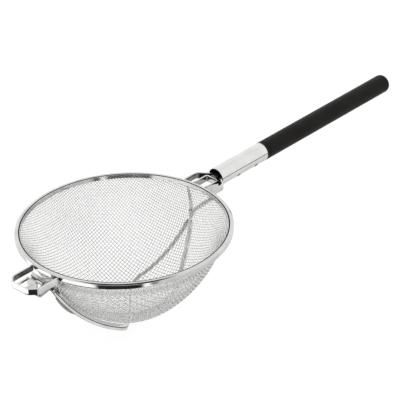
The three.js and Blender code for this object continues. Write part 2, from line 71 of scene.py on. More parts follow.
# Bowl and its weave
BOWL_DEPTH = 122.0
BOWL_POLE_REACH = 60.0
BOWL_SHOULDER_INSET = 14.0
BOWL_SHOULDER_DROP = 14.0
BOWL_FLANK_REACH = 29.0
BOWL_FLANK_LEAN = math.radians(4)
MESH_WALL = 1.6
MESH_EDGE_DROP = 2.2
BOWL_FLARE_START = 0.86
BOWL_SAMPLES = 400
WEAVE_PITCH = 4.3
WEAVE_WIRE_RADIUS = 0.4
WEAVE_DRAW = 0.17
WEAVE_SIDES = 6
WEAVE_ANGLE = math.radians(5)
WEAVE_SHARP_DEGREES = 80

# Straps under the bowl
STRAP_HEIGHT = 8.0
STRAP_THICKNESS = 2.2
STRAP_GAP = 0.8
STRAP_CROSSING_DROP = 29.0
STRAP_END_PAST_RIM = 2.6
STRAP_END_INSET = 1.0
STRAP_FRONT_CORNER = (-36.0, 30.0)
STRAP_REAR_CORNER = (36.0, 33.0)
STRAP_CORNER_ROUND = 14.0
STRAP_STATION = 2.0
STRAP_BLEND = 5.0
STRAP_NOTCH = 2.6
STRAP_FOLD = 3.6
STRAP_SCORE = 0.45
STRAP_INNER_THICKNESS = 0.8
FOOT_FLAT = 16.0

# Sides of a strap's folded section, counted round it from its outer left corner
STRAP_FOLD_SIDES = (3, 17)
STRAP_SCORE_SIDES = (4, 5, 15, 16)
STRAP_WEB_SIDES = (6, 14)

# Loop, yoke, stirrup and hook
HANDLE_AXIS_DROP = 4.8
STRIP_HEIGHT = 8.0
STRIP_THICKNESS = 2.2
STRIP_BEND = 3.0
STRIP_EDGE = 0.45
LOOP_HALF_WIDTH = 21.5
LOOP_REACH = 39.0
LOOP_CHAMFER = 9.0
YOKE_HALF_WIDTH = 22.5
YOKE_STRAIGHT = 21.0
YOKE_CHAMFER = 11.0
YOKE_BEND = 4.0
YOKE_TAIL_INSET = 4.0
YOKE_TAIL_LENGTH = 30.0
STIRRUP_HALF_WIDTH = 9.5
STIRRUP_REACH = 25.0
STIRRUP_DROP = 2.0
STIRRUP_HEIGHT = 8.5
HOOK_WIDTH = 18.0
HOOK_ROOT_WIDTH = 13.0
HOOK_THICKNESS = 2.0
HOOK_PLATE_REACH = 20.0
HOOK_TOP_DROP = 2.0
HOOK_ROOT_REACH = -8.5
HOOK_ROOT_DROP = 21.5
HOOK_TOE_REACH = 15.0
HOOK_TOE_DROP = 26.0
HOOK_BEND = 5.0
BRACE_SIDE = 6.8
BRACE_HEIGHT = 3.0
BRACE_THICKNESS = 2.0
BEND_STEPS = 10
CORNER_STEPS = 3
WELD_TINT_REACH = 5.0
WELD_TINT = (0.06, 0.058, 0.05)

# Faces of a standing strip to the right and left of its route, and stretches of a yoke's arm
STRIP_RIGHT_SIDE = (CORNER_STEPS,)
STRIP_LEFT_SIDE = (3 * CORNER_STEPS + 2,)
YOKE_NECK_RINGS = range(BEND_STEPS + 2, 2 * BEND_STEPS + 5)
YOKE_TAIL_RINGS = range(2 * BEND_STEPS, 2 * BEND_STEPS + 5)

# Ferrule, rivets and grip
FERRULE_RADIUS = 12.0
FERRULE_WALL = 0.8
FERRULE_PAST_RIM = 31.0
FERRULE_LENGTH = 84.0
FERRULE_SEAM_GAP = 0.8
FERRULE_SEAM_ANGLE = math.radians(170)
FERRULE_ARC_STEPS = 96
FERRULE_RUN_STEPS = 84
DIMPLE_DEPTH = 0.25
DIMPLE_REACH = 2.4
RIVET_ANGLE = math.radians(218)
RIVET_PLACES = {"ferrule_rivet_front": 32.0, "ferrule_rivet_rear": 64.0}
RIVET_HEAD_RADIUS = 2.7
RIVET_HEAD_HEIGHT = 0.9
RIVET_SINK = 1.0
RIVET_SEGMENTS = 24
RIVET_RINGS = 6
RIVET_TOP_LIFT = math.radians(84)
RIVET_SHADE_RINGS = (0, 1, 2)
GRIP_OVER_FERRULE = 0.1
GRIP_LENGTH = 248.7
GRIP_EDGE_ROUND = 0.8
GRIP_END_ROUND = 8.0
GRIP_GROOVE_PLACE = 5.0
GRIP_GROOVE_WIDTH = 1.4
GRIP_GROOVE_DEPTH = 0.6
GRIP_SEGMENTS = 96
GRIP_ROUND_STEPS = 16

# Marks on metal and plastic: scales in marks per metre, depths in metres
NOISE_ROUGHNESS = 0.55
STAIN_SCALE = 60.0
STAIN_DETAIL = 4.0
MARK_DETAIL = 2.0
TURNED_MARK_SCALE = 2600.0
MARK_POLISH = 0.03
MARK_DEPTH = 0.00004
MARK_STRENGTH = 0.12
WIRE_STAIN_SCALE = 220.0
WIRE_METALLIC = 0.92
PLASTIC_SPECULAR = 0.07
PLASTIC_CLOUD_SCALE = 35.0
PLASTIC_GRAIN_SCALE = 2200.0
PLASTIC_GRAIN_DEPTH = 0.00006
PLASTIC_GRAIN_STRENGTH = 0.18
PLASTIC_SCUFF_SCALE = (60, 700, 700)

# Floor, in metres
FLOOR_RADIUS = 30.0
FLOOR_SEGMENTS = 96
FLOOR_BELOW = 0.0002
FLOOR_CLOUD_SCALE = 3.0
FLOOR_DARK = (0.14, 0.14, 0.14)
FLOOR_LIGHT = (0.15, 0.15, 0.15)
FLOOR_GLOW = 0.88
FLOOR_ROUGHNESS = 0.9

# Cards round the studio, in degrees: azimuths from the photograph's view, then elevations
FRONT_FLAG = (-31, 19, -80, 8)
SLIM_FLAG = (26, 34, -33, 14)
LEFT_SHADE = (-165, -25, -80, -42)
LEFT_WHITE_CARD = (-125, -20, -38, 10)
RIGHT_WHITE_CARD = (16, 28, -38, 10)
CARD_SOFT = 3.0
WHITE_CARD_SOFT = 6.0
SHADE_SOFT = 8.0
ROOF_EDGE = (60.0, 70.0)
LOW_SHADE_EDGE = (5.0, -60.0)
LOW_SHADE = 0.3
WHITE_CARD_GLOW = 0.7
FLAG_DARKNESS = 0.975
STUDIO_STRENGTH = 1.1
SKY_EDGE = (-8.0, 8.0)
SKY_BELOW = 0.5
SKY_RISE = 0.65

# Low lamp: its azimuth from the photograph's view, and its elevation
LAMP_STRENGTH = 1.25
LAMP_SPREAD = math.radians(60)
LAMP_AZIMUTH = math.radians(25)
LAMP_ELEVATION = math.radians(-27)

# View of the photograph: its angles, and its distances from the middle of the rim's top
VIEW_AZIMUTH = math.radians(-46.21)
VIEW_ELEVATION = math.radians(30.22)
VIEW_ROLL = math.radians(-2.09)
VIEW_DISTANCE = 2500.0
VIEW_ASIDE = -89.8
VIEW_ABOVE = -30.4
VIEW_FOCAL_PIXELS = 2112.0
IMAGE_PIXELS = 400.0
SENSOR_WIDTH = 36.0


# Nodes
def new_material(name):
    material = bpy.data.materials.new(name)
    material.use_nodes = True
    return material, material.node_tree.nodes, material.node_tree.links


def noise(nodes, links, vector, scale, detail=3.0):
    texture = nodes.new("ShaderNodeTexNoise")
    texture.inputs["Scale"].default_value = scale
    texture.inputs["Detail"].default_value = detail
    texture.inputs["Roughness"].default_value = NOISE_ROUGHNESS
    links.new(vector, texture.inputs["Vector"])
    return texture.outputs["Fac"]


def ramp(nodes, links, factor, low, high, from_low=0.35, from_high=0.65):
    node = nodes.new("ShaderNodeMapRange")
    node.inputs["From Min"].default_value = from_low
    node.inputs["From Max"].default_value = from_high
    node.inputs["To Min"].default_value = low
    node.inputs["To Max"].default_value = high
    links.new(factor, node.inputs["Value"])
    return node.outputs["Result"]


def colour_between(nodes, links, factor, low, high):
    node = nodes.new("ShaderNodeMix")
    node.data_type = "RGBA"
    node.inputs["A"].default_value = (*low, 1)
    node.inputs["B"].default_value = (*high, 1)
    links.new(factor, node.inputs["Factor"])
    return node.outputs["Result"]


def stretched(nodes, links, scale):
    place = nodes.new("ShaderNodeTexCoord")
    mapping = nodes.new("ShaderNodeMapping")
    mapping.inputs["Scale"].default_value = scale
    links.new(place.outputs["Object"], mapping.inputs["Vector"])
    return mapping.outputs["Vector"]


def ring_place(nodes, links):
    """Distance from the bowl's axis and height, for marks that run round a turned piece"""
    place = nodes.new("ShaderNodeTexCoord")
    split = nodes.new("ShaderNodeSeparateXYZ")
    links.new(place.outputs["Object"], split.inputs["Vector"])
    flat = nodes.new("ShaderNodeCombineXYZ")
    links.new(split.outputs["X"], flat.inputs["X"])
    links.new(split.outputs["Y"], flat.inputs["Y"])
    length = nodes.new("ShaderNodeVectorMath")
    length.operation = "LENGTH"
    links.new(flat.outputs["Vector"], length.inputs[0])
    ring = nodes.new("ShaderNodeCombineXYZ")
    links.new(length.outputs["Value"], ring.inputs["X"])
    links.new(split.outputs["Z"], ring.inputs["Z"])
    return ring.outputs["Vector"]


def bump(nodes, links, height, shader, strength, distance):
    node = nodes.new("ShaderNodeBump")
    node.inputs["Strength"].default_value = strength
    node.inputs["Distance"].default_value = distance
    links.new(height, node.inputs["Height"])
    links.new(node.outputs["Normal"], shader.inputs["Normal"])


def weld_tint(nodes, links, tone):
    """Darkens a tone toward the rim, where a strip is welded to it"""
    ring = nodes.new("ShaderNodeSeparateXYZ")
    links.new(ring_place(nodes, links), ring.inputs["Vector"])
    tint_end = RIM_RADIUS + WELD_TINT_REACH
    burnt = ramp(nodes, links, ring.outputs["X"], 1, 0, RIM_RADIUS * MM, tint_end * MM)
    node = nodes.new("ShaderNodeMix")
    node.data_type = "RGBA"
    node.inputs["B"].default_value = (*WELD_TINT, 1)
    links.new(burnt, node.inputs["Factor"])
    links.new(tone, node.inputs["A"])
    return node.outputs["Result"]


def metal(name, dark, light, smooth, rough, grain, stain_scale=STAIN_SCALE, metallic=1.0, welded=False):
    """Steel with uneven tone and polish. grain is the scale of its brushing, or None for turned marks."""
    material, nodes, links = new_material(name)
    shader = nodes["Principled BSDF"]
    shader.inputs["Metallic"].default_value = metallic
    plain = stretched(nodes, links, (1, 1, 1))
    stains = noise(nodes, links, plain, stain_scale, STAIN_DETAIL)
    tone = colour_between(nodes, links, ramp(nodes, links, stains, 0, 1), dark, light)
    if welded:
        tone = weld_tint(nodes, links, tone)
    links.new(tone, shader.inputs["Base Color"])
    if grain is None:
        lines = noise(nodes, links, ring_place(nodes, links), TURNED_MARK_SCALE, MARK_DETAIL)
    else:
        lines = noise(nodes, links, stretched(nodes, links, grain), 1.0, MARK_DETAIL)
    polish = nodes.new("ShaderNodeMath")
    polish.operation = "ADD"
    links.new(ramp(nodes, links, stains, smooth, rough), polish.inputs[0])
    links.new(ramp(nodes, links, lines, -MARK_POLISH, MARK_POLISH), polish.inputs[1])
    links.new(polish.outputs["Value"], shader.inputs["Roughness"])
    bump(nodes, links, lines, shader, MARK_STRENGTH, MARK_DEPTH)
    return material


def plastic(name, dark, light, smooth, rough):
    """Moulded plastic with a fine grain, faint scuffs and an uneven sheen"""
    material, nodes, links = new_material(name)
    shader = nodes["Principled BSDF"]
    shader.inputs["Specular IOR Level"].default_value = PLASTIC_SPECULAR
    plain = stretched(nodes, links, (1, 1, 1))
    cloudy = noise(nodes, links, plain, PLASTIC_CLOUD_SCALE, STAIN_DETAIL)
    grain = noise(nodes, links, plain, PLASTIC_GRAIN_SCALE, MARK_DETAIL)
    scuffs = noise(nodes, links, stretched(nodes, links, PLASTIC_SCUFF_SCALE), 1.0, MARK_DETAIL)
    tone = colour_between(nodes, links, ramp(nodes, links, cloudy, 0, 1), dark, light)
    links.new(tone, shader.inputs["Base Color"])
    links.new(ramp(nodes, links, scuffs, smooth, rough), shader.inputs["Roughness"])
    bump(nodes, links, grain, shader, PLASTIC_GRAIN_STRENGTH, PLASTIC_GRAIN_DEPTH)
    return material


polished_steel = metal("rim_steel", (0.57, 0.57, 0.57), (0.66, 0.66, 0.65), 0.06, 0.14, None)
strip_steel = metal("strip_steel", (0.56, 0.56, 0.55), (0.68, 0.68, 0.67), 0.08, 0.16, (120, 900, 900))
loop_steel = metal(
    "loop_steel", (0.60, 0.60, 0.59), (0.72, 0.72, 0.71), 0.08, 0.16, (300, 900, 900), welded=True
)
# Steel painted darker as shade, for inner faces turned from the light
painted_shade_steel = metal("painted_shade_steel", (0.15, 0.15, 0.145), (0.34, 0.34, 0.33), 0.22, 0.36, (300, 900, 900))
# Steel painted a little darker as half shade, for the hook, the stirrup's inner face and strap webs
painted_half_shade_steel = metal("painted_half_shade_steel", (0.34, 0.34, 0.33), (0.44, 0.44, 0.43), 0.12, 0.22, (300, 900, 900))
wire_steel = metal(
    "wire_steel", (0.60, 0.60, 0.59), (0.74, 0.74, 0.73), 0.2, 0.32, (500, 500, 900),
    stain_scale=WIRE_STAIN_SCALE, metallic=WIRE_METALLIC
)
ferrule_steel = metal("ferrule_steel", (0.66, 0.66, 0.65), (0.76, 0.76, 0.75), 0.26, 0.38, (40, 1500, 1500))
# Steel painted near black as deep shade, for grooves, creases, the ferrule's inside and the feet of rivets
painted_dark_shade_steel = metal("painted_dark_shade_steel", (0.012, 0.012, 0.011), (0.03, 0.03, 0.028), 0.5, 0.7, (40, 800, 800))
plain_steel = metal("plain_steel", (0.42, 0.42, 0.42), (0.55, 0.55, 0.55), 0.32, 0.48, (400, 400, 400))
black_plastic = plastic("black_plastic", (0.0085, 0.0081, 0.0065), (0.0125, 0.0119, 0.0096), 0.36, 0.5)


# Mesh making
def unit(vectors):
    vectors = np.asarray(vectors, float)
    return vectors / np.linalg.norm(vectors, axis=-1, keepdims=True)


def add_piece(name, verts, faces, material, slot, *nodes, sharp=SHARP_DEGREES):
    """A piece in millimetres from the rim's top, which rides on the root and replaces its nodes"""
    points = (np.asarray(verts, float) + (0, 0, RIM_TOP)) * MM
    mesh = bpy.data.meshes.new(name)
    mesh.from_pydata(points, [], faces)
    shape = bmesh.new()
    shape.from_mesh(mesh)
    bmesh.ops.recalc_face_normals(shape, faces=shape.faces)
    shape.to_mesh(mesh)
    shape.free()
    mesh.shade_smooth()
    mesh.set_sharp_from_angle(angle=math.radians(sharp))
    mesh.materials.append(material)
    piece = bpy.data.objects.new(name, mesh)
    bpy.context.scene.collection.objects.link(piece)
    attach(piece, ROOT)
    if nodes:
        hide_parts(*nodes)
    return piece


def paint(piece, material, count, sides=None, rings=None):
    """Gives another material to a lofted piece's faces on chosen sides, or after chosen rings"""
    piece.data.materials.append(material)
    for face in piece.data.polygons:
        ring, side = divmod(face.index, count)
        side_chosen = sides is None or side in sides
        ring_chosen = rings is None or ring in rings
        if len(face.vertices) == 4 and side_chosen and ring_chosen:
            face.material_index = len(piece.data.materials) - 1


def loft(rings, closed=False):
    """A skin through rings of as many points each, with flat ends unless it closes on itself"""
    count = len(rings[0])
    faces = []
    for k in range(len(rings) if closed else len(rings) - 1):
        a = k * count
        b = (k + 1) % len(rings) * count
        for c in range(count):
            d = (c + 1) % count
            faces.append((a + c, a + d, b + d, b + c))
    if not closed:
        last = (len(rings) - 1) * count
        faces.append(tuple(range(count)))
        faces.append(tuple(range(last, last + count)))
    return np.concatenate(rings), faces


def bent_route(corners, bend):
    """Points along corners, where each inner corner is a curve that starts and ends a bend away from it"""
    corners = np.asarray(corners, float)
    route = [corners[0]]
    for before, corner, after in zip(corners, corners[1:], corners[2:]):
        start = corner + bend * unit(before - corner)
        end = corner + bend * unit(after - corner)
        for t in np.linspace(0, 1, BEND_STEPS + 1):
            route.append((1 - t) ** 2 * start + 2 * t * (1 - t) * corner + t ** 2 * end)
    route.append(corners[-1])
    return np.array(route)


def directions(points):
    steps = unit(np.diff(points, axis=0))
    return unit(np.concatenate([steps[:1], steps[:-1] + steps[1:], steps[-1:]]))


def section(low, high, thickness, edge):
    """A rectangle with round corners, as heights and sideways distances"""
    half = thickness / 2 - edge
    centres = [(high - edge, half), (low + edge, half), (low + edge, -half), (high - edge, -half)]
    points = []
    for quarter, (height, aside) in enumerate(centres):
        for angle in np.linspace(quarter, quarter + 1, CORNER_STEPS + 1) * math.pi / 2:
            points.append((height + edge * math.cos(angle), aside + edge * math.sin(angle)))
    return np.array(points)


def folded_section(low, high, thickness, edge):
    """A strap's section: a web that thins toward the mesh, a scored line, and an outer edge folded back"""
    fold = min(max(STRAP_HEIGHT - STRAP_FOLD, low + 2 * edge), high - 2 * edge)
    half = thickness / 2
    score = [(fold + STRAP_SCORE, half), (fold, half - STRAP_SCORE), (fold - STRAP_SCORE, half)]
    thick = section(low, high, thickness, edge)
    thin = section(low, high, STRAP_INNER_THICKNESS, edge / 2)
    quarter = len(thick) // 4
    score_back = np.array(score[::-1]) * (1, -1)
    web = thin[quarter:3 * quarter]
    return np.concatenate([thick[:quarter], score, web, score_back, thick[3 * quarter:]])


def bar(points, ups, spans, thickness, shape=section):
    """A strip with round edges along a route. ups point across its width, spans are its two edges there."""
    points = np.asarray(points, float)
    tangents = directions(points)
    edge = STRIP_EDGE
    rings = []

    def ring(k, aside, inset, corner):
        sideways = unit(np.cross(tangents[k], ups[k]))
        low, high = spans[k]
        outline = shape(low + inset, high - inset, thickness - 2 * inset, corner)
        middle = points[k] + tangents[k] * aside
        rings.append(middle + outline[:, :1] * ups[k] + outline[:, 1:] * sideways)

    last = len(points) - 1
    ring(0, 0, edge, edge / 4)
    ring(0, edge, 0, edge)
    for k in range(1, last):
        ring(k, 0, 0, edge)
    ring(last, -edge, 0, edge)
    ring(last, 0, edge, edge / 4)
    return loft(rings)


def standing_strip(corners, bend, height, top_drop):
    plan = bent_route(corners, bend)
    points = np.column_stack([plan, np.full(len(plan), -top_drop - height)])
    ups = np.tile([0.0, 0.0, 1.0], (len(plan), 1))
    return bar(points, ups, [(0, height)] * len(plan), STRIP_THICKNESS)


def turned(profile, segments):
    """A profile of radius and height, turned round the bowl's axis"""
    profile = np.asarray(profile, float)
    angles = np.linspace(0, 2 * math.pi, segments, endpoint=False)
    rings = []
    for angle in angles:
        across = profile[:, 0] * math.cos(angle)
        along = profile[:, 0] * math.sin(angle)
        rings.append(np.column_stack([across, along, profile[:, 1]]))
    return loft(rings, closed=True)


# Rim band: a folded strip with a grooved inner lip and a sloping outer edge
def curve(start, corner, end, steps):
    t = np.linspace(0, 1, steps + 1)[:, None]
    return (1 - t) ** 2 * np.array(start) + 2 * t * (1 - t) * np.array(corner) + t ** 2 * np.array(end)


rim_inner = RIM_RADIUS - RIM_WIDTH
mesh_edge_radius = rim_inner + RIM_SHEET + CLEARANCE + MESH_WALL / 2


def rim_profile():
    """The section's outline, and the sides of its groove along the inner lip, which are painted dark as
    shade
    """
    bottom = -RIM_HEIGHT
    inner = rim_inner + RIM_SHEET
    outer = RIM_RADIUS - RIM_SHEET
    mesh_lip = mesh_edge_radius + MESH_WALL / 2 + 2 * CLEARANCE
    low = RIM_BOTTOM_ROUND
    lip = rim_inner + RIM_LIP_WIDTH
    groove = lip + RIM_GROOVE_WIDTH
    edge = RIM_EDGE
    drop = -RIM_LIP_DROP
    slope_top = np.array([RIM_RADIUS - RIM_SLOPE_WIDTH, 0])
    slope_foot = np.array([RIM_RADIUS, -RIM_SLOPE_DROP])
    downhill = unit(slope_foot - slope_top)
    brow = RIM_SLOPE_ROUND
    inner_lip = np.concatenate([
        [(rim_inner, -RIM_INNER_LEG)],
        curve((rim_inner, drop - edge), (rim_inner, drop), (rim_inner + edge, drop), RIM_ROUND_STEPS),
        [(lip, drop)],
    ])
    groove_floor = [(lip, -RIM_GROOVE_DEPTH), (groove, -RIM_GROOVE_DEPTH)]
    band = np.concatenate([
        curve((groove, -edge), (groove, 0), (groove + edge, 0), RIM_ROUND_STEPS),
        curve(slope_top - (brow, 0), slope_top, slope_top + brow * downhill, RIM_ROUND_STEPS),
        curve(slope_foot - edge * downhill, slope_foot, slope_foot - (0, edge), RIM_ROUND_STEPS),
        curve((RIM_RADIUS, bottom + low), (RIM_RADIUS, bottom), (RIM_RADIUS - low, bottom), RIM_ROUND_STEPS),
        [(mesh_lip, bottom), (mesh_lip, bottom + RIM_SHEET), (RIM_RADIUS - low, bottom + RIM_SHEET)],
        [(outer, bottom + low), (outer, -RIM_SLOPE_DROP - edge), (RIM_RADIUS - RIM_SLOPE_WIDTH, -RIM_SHEET)],
        [(groove + RIM_SHEET, -RIM_SHEET), (groove + RIM_SHEET, -2 * RIM_GROOVE_DEPTH)],
        [(inner, -2 * RIM_GROOVE_DEPTH), (inner, -RIM_INNER_LEG)],
    ])
    groove_sides = range(len(inner_lip) - 1, len(inner_lip) + 2)
    return np.concatenate([inner_lip, groove_floor, band]), groove_sides


rim_outline, rim_groove_sides = rim_profile()
rim_rolled = add_piece(
    "rim_band_rolled", *turned(rim_outline, RIM_SEGMENTS), polished_steel, "polished_steel", "rim_band"
)
# The groove, a real shallow one, is painted near black as the shadow in it
paint(rim_rolled, painted_dark_shade_steel, len(rim_outline), sides=rim_groove_sides)


# Bowl: radius and height of its wall, from the pole to the edge in the rim
def bezier(p0, p1, p2, p3, t):
    t = t[:, None]
    return (1 - t) ** 3 * p0 + 3 * t * (1 - t) ** 2 * p1 + 3 * t ** 2 * (1 - t) * p2 + t ** 3 * p3


def bowl_wall():
    pole = np.array([0, -BOWL_DEPTH + MESH_WALL / 2])
    shoulder = np.array([RIM_RADIUS - BOWL_SHOULDER_INSET, -BOWL_SHOULDER_DROP])
    lean = np.array([math.sin(BOWL_FLANK_LEAN), math.cos(BOWL_FLANK_LEAN)])
    neck = np.array([mesh_edge_radius, -RIM_INNER_LEG])
    t = np.linspace(0, 1, BOWL_SAMPLES)
    flank = shoulder - lean * BOWL_FLANK_REACH
    body = bezier(pole, pole + (BOWL_POLE_REACH, 0), flank, shoulder, t * BOWL_FLARE_START)
    flare = np.linalg.norm(neck - body[-1]) / 3
    top = bezier(body[-1], body[-1] + flare * unit(body[-1] - body[-2]), neck - (0, flare), neck, t[1:])
    stand = np.array([[neck[0], -MESH_EDGE_DROP]])
    return np.concatenate([body, top, stand])


wall = bowl_wall()
wall_arc = np.concatenate([[0], np.cumsum(np.linalg.norm(np.diff(wall, axis=0), axis=1))])
wall_tangent = unit(np.gradient(wall, wall_arc, axis=0))
edge_arc = wall_arc[-1]

# The cloth is drawn in as it is pressed, so that its flat radius grows faster than the wall's arc
wall_flat = wall_arc * (1 + WEAVE_DRAW * (wall_arc / edge_arc) ** 2)
flat_edge = wall_flat[-1]


def on_wall(flat, outward):
    """Points of the wall, and its normals there, for places on the flat cloth"""
    distance = np.linalg.norm(flat, axis=1)
    way = flat / np.maximum(distance, TINY)[:, None]
    radius, height, run, rise = (
        np.interp(distance, wall_flat, column)
        for column in (wall[:, 0], wall[:, 1], wall_tangent[:, 0], wall_tangent[:, 1])
    )
    normals = np.column_stack([way * rise[:, None], -run])
    points = np.column_stack([way * radius[:, None], height])
    return points + normals * outward[:, None], normals


def woven_wire(place, lane, turn):
    """One wire of the cloth, as rings of points. It passes over and under the wires that cross it."""
    reach = math.sqrt(flat_edge ** 2 - place ** 2)
    half_steps = math.floor(2 * reach / WEAVE_PITCH)
    numbers = np.arange(-half_steps, half_steps + 1)
    along = np.concatenate([[-reach], numbers * WEAVE_PITCH / 2, [reach]])
    crossing = np.where(numbers % 2 == 0, np.where((numbers // 2 + lane) % 2 == 0, 1.0, -1.0), 0.0)
    wave = np.concatenate([[0], crossing, [0]]) * WEAVE_WIRE_RADIUS * (1 if turn == 0 else -1)
    flat = np.column_stack([np.full(len(along), place), along])
    angle = WEAVE_ANGLE + turn * math.pi / 2
    spin = np.array([[math.cos(angle), math.sin(angle)], [-math.sin(angle), math.cos(angle)]])
    points, normals = on_wall(flat @ spin, wave)
    tangents = directions(points)
    sideways = unit(np.cross(tangents, normals))
    over = np.cross(sideways, tangents)
    corners = np.linspace(0, 2 * math.pi, WEAVE_SIDES, endpoint=False)[None, :, None]
    ring = np.cos(corners) * over[:, None, :] + np.sin(corners) * sideways[:, None, :]
    return points[:, None, :] + WEAVE_WIRE_RADIUS * ring


def weave_half(turn, lanes):
    verts = []
    faces = []
    offset = 0
    for lane in lanes:
        wire_verts, wire_faces = loft(list(woven_wire(lane * WEAVE_PITCH, lane, turn)))
        verts.append(wire_verts)
        faces.extend(tuple(v + offset for v in face) for face in wire_faces)
        offset += len(wire_verts)
    return np.concatenate(verts), faces


lane_reach = math.floor((flat_edge - WEAVE_PITCH) / WEAVE_PITCH)
mesh_pieces = []
for turn, family in enumerate(("warp", "weft")):
    for half, lanes in (("near", range(-lane_reach, 0)), ("far", range(0, lane_reach + 1))):
        mesh_pieces.append(add_piece(
            f"mesh_{family}_{half}", *weave_half(turn, lanes), wire_steel, "wire_steel", "wire_mesh_bowl",
            sharp=WEAVE_SHARP_DEGREES
        ))


# Support straps: strips on edge that follow the bowl, cross, and run out to the loop and the yoke
strap_end = np.array([RIM_RADIUS + STRAP_END_PAST_RIM, -HANDLE_AXIS_DROP - STRIP_HEIGHT / 2 - CLEARANCE])
strap_offset = np.column_stack([wall_tangent[:, 1], -wall_tangent[:, 0]]) * (MESH_WALL / 2 + STRAP_GAP)
strap_line = (wall + strap_offset)[:-1]
strap_run = strap_line[strap_line[:, 1] < -STRAP_CROSSING_DROP]
strap_crossing = strap_run[-1]
strap_run = np.concatenate([strap_run, [strap_end]])


def strap_height(radius):
    return np.interp(radius, strap_run[:, 0], strap_run[:, 1])


def strap_plan(side):
    """The strap's route seen from above, from the loop to the yoke, with stations close together"""
    def half(way, across, corner):
        corner = np.array([corner[0], math.copysign(1, corner[0]) * side * corner[1]])
        across = across - STRAP_END_INSET
        end = (way * math.sqrt(strap_end[0] ** 2 - across ** 2), -way * side * across)
        crossing = (way * strap_crossing[0], 0)
        return bent_route([end, crossing, corner, (0, 0)], STRAP_CORNER_ROUND)

    front = half(-1, LOOP_HALF_WIDTH, STRAP_FRONT_CORNER)
    rear = half(1, YOKE_HALF_WIDTH, STRAP_REAR_CORNER)
    route = np.concatenate([front, rear[-2::-1]])
    arc = np.concatenate([[0], np.cumsum(np.linalg.norm(np.diff(route, axis=0), axis=1))])
    stations = np.linspace(0, arc[-1], round(arc[-1] / STRAP_STATION) + 1)
    return np.column_stack([np.interp(stations, arc, route[:, axis]) for axis in (0, 1)])


def support_strap(side, keeps_outer_half):
    plan = strap_plan(side)
    radius = np.linalg.norm(plan, axis=1)
    way = plan / np.maximum(radius, TINY)[:, None]
    inner = np.maximum(radius - STRAP_BLEND, 0)
    rise = strap_height(radius + STRAP_BLEND) - strap_height(inner)
    rise = np.where(radius < FOOT_FLAT / 2, 0, rise)
    run = radius + STRAP_BLEND - inner
    outward = unit(np.column_stack([way * rise[:, None], -run]))
    points = np.column_stack([plan, strap_height(np.maximum(radius, FOOT_FLAT / 2))])
    middle = STRAP_HEIGHT / 2
    kept = (middle + CLEARANCE / 2, STRAP_HEIGHT) if keeps_outer_half else (0, middle - CLEARANCE / 2)
    apart = np.linalg.norm(plan[:, None] - strap_plan(-side)[None], axis=2).min(axis=1)
    spans = [kept if distance < STRAP_NOTCH else (0, STRAP_HEIGHT) for distance in apart]
    return bar(points, outward, spans, STRAP_THICKNESS, shape=folded_section)


strap_sides = len(folded_section(0, STRAP_HEIGHT, STRAP_THICKNESS, STRIP_EDGE))
for name, side, keeps_outer_half in (("left", 1, True), ("right", -1, False)):
    strap_strip = support_strap(side, keeps_outer_half)
    strap = add_piece(
        f"strap_{name}_strip", *strap_strip, strip_steel, "strip_steel", f"support_strap_{name}"
    )
    strap_rings = len(strap_strip[0]) // strap_sides
    front_rings = range(strap_rings // 2)
    rear_rings = range(strap_rings // 2, strap_rings)
    # The score, a real shallow groove, is painted near black as the shadow in it; the rear webs are painted
    # darker as shade
    paint(strap, painted_dark_shade_steel, strap_sides, sides=STRAP_SCORE_SIDES)
    paint(strap, painted_half_shade_steel, strap_sides, sides=STRAP_WEB_SIDES, rings=rear_rings)
    # The left strap's front web is painted lighter as lit steel, the right strap's front web and fold darker
    # as shade
    if name == "left":
        paint(strap, ferrule_steel, strap_sides, sides=STRAP_WEB_SIDES, rings=front_rings)
    else:
        paint(strap, painted_shade_steel, strap_sides, sides=STRAP_WEB_SIDES + STRAP_FOLD_SIDES, rings=front_rings)


# Front loop, handle yoke and stirrup
def rim_foot(side):
    return math.sqrt(RIM_RADIUS ** 2 - (side - STRIP_THICKNESS / 2) ** 2) + CLEARANCE


strip_drop = HANDLE_AXIS_DROP - STRIP_HEIGHT / 2
strip_sides = len(section(0, STRIP_HEIGHT, STRIP_THICKNESS, STRIP_EDGE))
loop_front = -(RIM_RADIUS + LOOP_REACH)
loop_corners = [
    (-rim_foot(LOOP_HALF_WIDTH), LOOP_HALF_WIDTH),
    (loop_front + LOOP_CHAMFER, LOOP_HALF_WIDTH),
    (loop_front, LOOP_HALF_WIDTH - LOOP_CHAMFER),
    (loop_front, LOOP_CHAMFER - LOOP_HALF_WIDTH),
    (loop_front + LOOP_CHAMFER, -LOOP_HALF_WIDTH),
    (-rim_foot(LOOP_HALF_WIDTH), -LOOP_HALF_WIDTH),
]
loop_strip = standing_strip(loop_corners, STRIP_BEND, STRIP_HEIGHT, strip_drop)
loop_piece = add_piece("loop_strip", *loop_strip, loop_steel, "polished_steel", "front_loop")
# The loop's inner face is painted darker, as shade
paint(loop_piece, painted_shade_steel, strip_sides, sides=STRIP_LEFT_SIDE)

